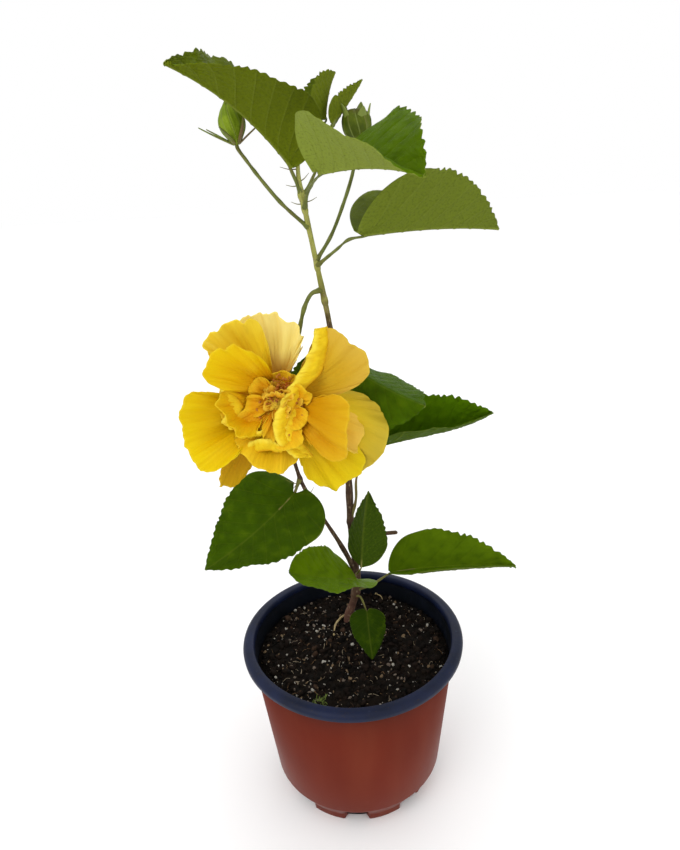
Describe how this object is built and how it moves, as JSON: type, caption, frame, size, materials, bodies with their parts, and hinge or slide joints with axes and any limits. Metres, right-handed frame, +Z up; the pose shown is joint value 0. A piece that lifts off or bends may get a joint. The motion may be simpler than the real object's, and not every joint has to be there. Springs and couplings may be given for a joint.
{
  "type": "potted hibiscus plant",
  "caption": "Young single-stemmed hibiscus with broad folded leaves, buds and a double yellow bloom in a round plastic nursery pot.",
  "frame": {"origin": "centre of the flat underside of the pot", "axes": "+Z up, the bloom faces -Y, +X to the right of someone facing the bloom"},
  "size_m": [0.1736, 0.1371, 0.4125],
  "materials": {
    "pot": "satin",
    "rim": "satin",
    "peat": "matte",
    "bark": "matte",
    "young_stem": "satin",
    "leaf": "satin",
    "bud": "matte",
    "petal": "matte"
  },
  "bodies": {
    "root": {"pot_body": "pot", "pot_rim": "rim", "soil": "peat", "main_stem": "bark", "side_branch": "bark", "pruned_stub": "bark", "leaf_top_left": "leaf", "stalk_top_left": "young_stem", "leaf_top_young": "leaf", "stalk_top_young": "young_stem", "leaf_top_narrow": "leaf", "stalk_top_narrow": "young_stem", "leaf_top_cupped": "leaf", "stalk_top_cupped": "young_stem", "leaf_upper_right": "leaf", "stalk_upper_right": "young_stem", "leaf_middle_right": "leaf", "stalk_middle_right": "young_stem", "leaf_middle_long": "leaf", "stalk_middle_long": "young_stem", "leaf_behind_bloom": "leaf", "stalk_behind_bloom": "young_stem", "leaf_lower_left": "leaf", "stalk_lower_left": "young_stem", "leaf_low_front": "leaf", "stalk_low_front": "young_stem", "leaf_lower_right": "leaf", "stalk_lower_right": "young_stem", "leaf_upright": "leaf", "stalk_upright": "young_stem", "leaf_small_hanging": "leaf", "stalk_small_hanging": "young_stem", "bud_left": "bud", "stalk_bud_left": "young_stem", "bud_right": "bud", "stalk_bud_right": "young_stem", "calyx": "bud", "core": "petal", "petal_top": "petal", "petal_top_left": "petal", "petal_right_top": "petal", "petal_right_back": "petal", "petal_bottom": "petal", "petal_lower_back": "petal", "petal_lower_left": "petal", "petal_right_inner": "petal", "petal_lower_ruffle": "petal", "petal_left_ruffle": "petal", "petal_left_cup": "petal", "petal_right_cup": "petal", "stalk_bloom": "young_stem"}
  },
  "joints": []
}
